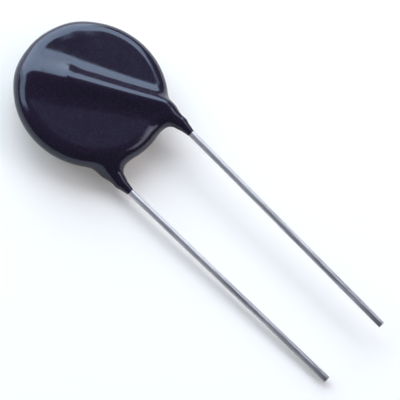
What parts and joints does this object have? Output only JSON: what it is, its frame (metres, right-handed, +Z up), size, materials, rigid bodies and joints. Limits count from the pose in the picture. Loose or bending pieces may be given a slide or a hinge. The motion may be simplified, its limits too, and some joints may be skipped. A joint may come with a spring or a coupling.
{
  "type": "disc varistor",
  "caption": "Disc varistor: a dipped zinc oxide disc with a slanting wire ridge on each face and straight parallel wire leads.",
  "frame": {"origin": "middle of the bounding box's underside, on the surface that the part lies on", "axes": "+Z up; the leads run towards -Y with their tips farthest out, and the disc is at +Y; +X is across the leads, towards the front lead"},
  "size_m": [0.0228, 0.0648, 0.0062],
  "materials": {
    "ceramic": "matt grey zinc oxide",
    "silver": "fired silver",
    "tinned_wire": "bright tinned copper",
    "solder": "satin solder",
    "epoxy": "glossy dark blue dipped epoxy"
  },
  "bodies": {
    "root": {"ceramic_disc": "ceramic", "front_electrode": "silver", "rear_electrode": "silver", "front_lead": "tinned_wire", "rear_lead": "tinned_wire", "front_solder": "solder", "rear_solder": "solder", "epoxy_coating": "epoxy"}
  },
  "joints": []
}
